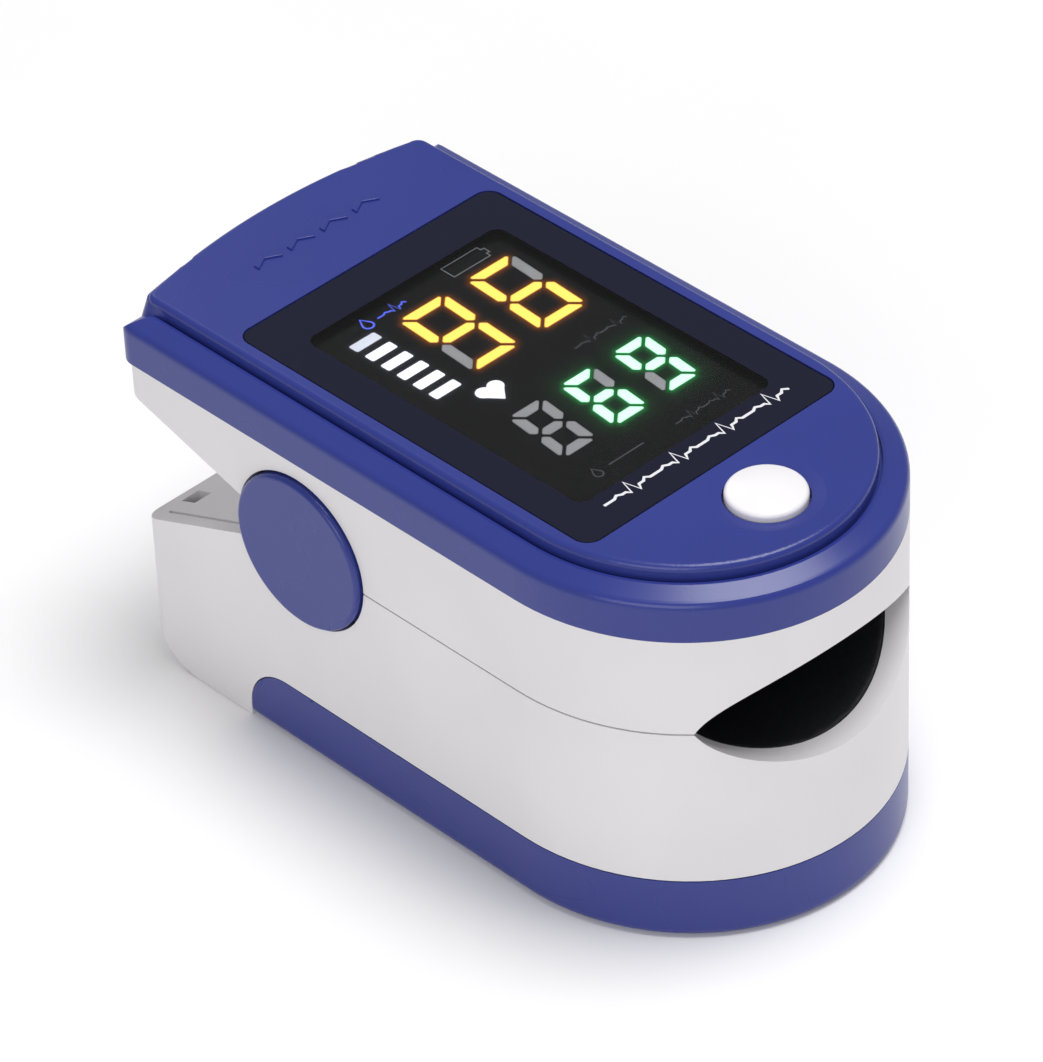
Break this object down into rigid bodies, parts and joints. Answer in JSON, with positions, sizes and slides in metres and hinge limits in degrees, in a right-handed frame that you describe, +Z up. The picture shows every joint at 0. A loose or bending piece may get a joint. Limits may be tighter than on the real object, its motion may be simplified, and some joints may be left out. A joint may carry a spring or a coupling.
{
  "type": "fingertip pulse oximeter",
  "caption": "Fingertip pulse oximeter: two sprung jaws with black silicone finger pads, a smoked display window, a domed power button and a slide-off battery cover.",
  "frame": {"origin": "middle of the flat underside, at the surface that the closed oximeter rests on", "axes": "+Z up through the display, -Y out of the finger mouth at the rounded nose, +Y to the tail that is squeezed, X across along the hinge axis"},
  "size_m": [0.0324, 0.058, 0.0322],
  "materials": {
    "white_shell": "fine satin moulded ABS",
    "blue_cover": "satin moulded ABS",
    "black_silicone": "matt silicone",
    "smoked_window": "polished smoked acrylic",
    "display_black": "matt black",
    "segment_yellow": "lit diffuser",
    "segment_green": "lit diffuser",
    "segment_grey": "unlit diffuser",
    "segment_white": "lit diffuser",
    "button_white": "polished",
    "circuit_board": "solder mask",
    "chip_black": "moulded epoxy",
    "steel": "plain",
    "spring_steel": "drawn wire",
    "nickel_contact": "nickel plated",
    "cell_jacket": "printed sleeve on a metal can, so that the cell weighs about what an AAA cell does",
    "clear_lens": "clear",
    "ribbon_film": "polyimide film"
  },
  "bodies": {
    "lower_jaw": {"lower_housing": "white_shell", "battery_tray": "white_shell", "lower_finger_pad": "black_silicone", "detector_board": "circuit_board", "photodetector": "chip_black", "detector_window": "clear_lens", "tray_screws": "steel", "battery_cell_left": "cell_jacket", "battery_cell_right": "cell_jacket", "bridge_contact": "nickel_contact", "positive_contact": "nickel_contact", "negative_contact": "nickel_contact", "bridge_spring": "spring_steel", "negative_spring": "spring_steel", "hinge_axle": "steel", "hinge_cap_left": "blue_cover", "hinge_cap_right": "blue_cover", "hinge_spring_right_fixed": "spring_steel", "hinge_spring_left_fixed": "spring_steel", "ribbon_lower": "ribbon_film"},
    "upper_jaw": {"upper_housing": "white_shell", "upper_finger_pad": "black_silicone", "hinge_spring_right_moving": "spring_steel", "hinge_spring_left_moving": "spring_steel", "top_cover": "blue_cover", "display_window": "smoked_window", "display_module": "display_black", "segments_yellow": "segment_yellow", "segments_green": "segment_green", "segments_unlit": "segment_grey", "pulse_bars": "segment_white", "heart_icon": "segment_white", "display_pins": "nickel_contact", "main_board": "circuit_board", "cover_screws": "steel", "microcontroller": "chip_black", "led_driver_chip": "chip_black", "chip_resistors": "chip_black", "emitter_led": "clear_lens", "emitter_window": "clear_lens", "ribbon_upper": "ribbon_film", "tact_switch": "chip_black"},
    "battery_cover": {"battery_cover": "blue_cover"},
    "power_button": {"power_button": "button_white", "switch_plunger": "chip_black"}
  },
  "joints": [
    {"name": "jaw_hinge", "type": "hinge", "parent": "lower_jaw", "child": "upper_jaw", "pos_m": [0, 0.00953, 0.01892], "axis": [-1, 0, 0], "range_deg": [0, 24], "stiffness_Nm_per_rad": 0.12, "springref_deg": -34.38},
    {"name": "power_button_press", "type": "slide", "parent": "upper_jaw", "child": "power_button", "axis": [0, 0, -1], "range_m": [0, 0.0004], "stiffness_N_per_m": 1500, "springref_m": -0.0005},
    {"name": "battery_cover_slide", "type": "slide", "parent": "lower_jaw", "child": "battery_cover", "axis": [0, -1, 0], "range_m": [0, 0.042]}
  ]
}
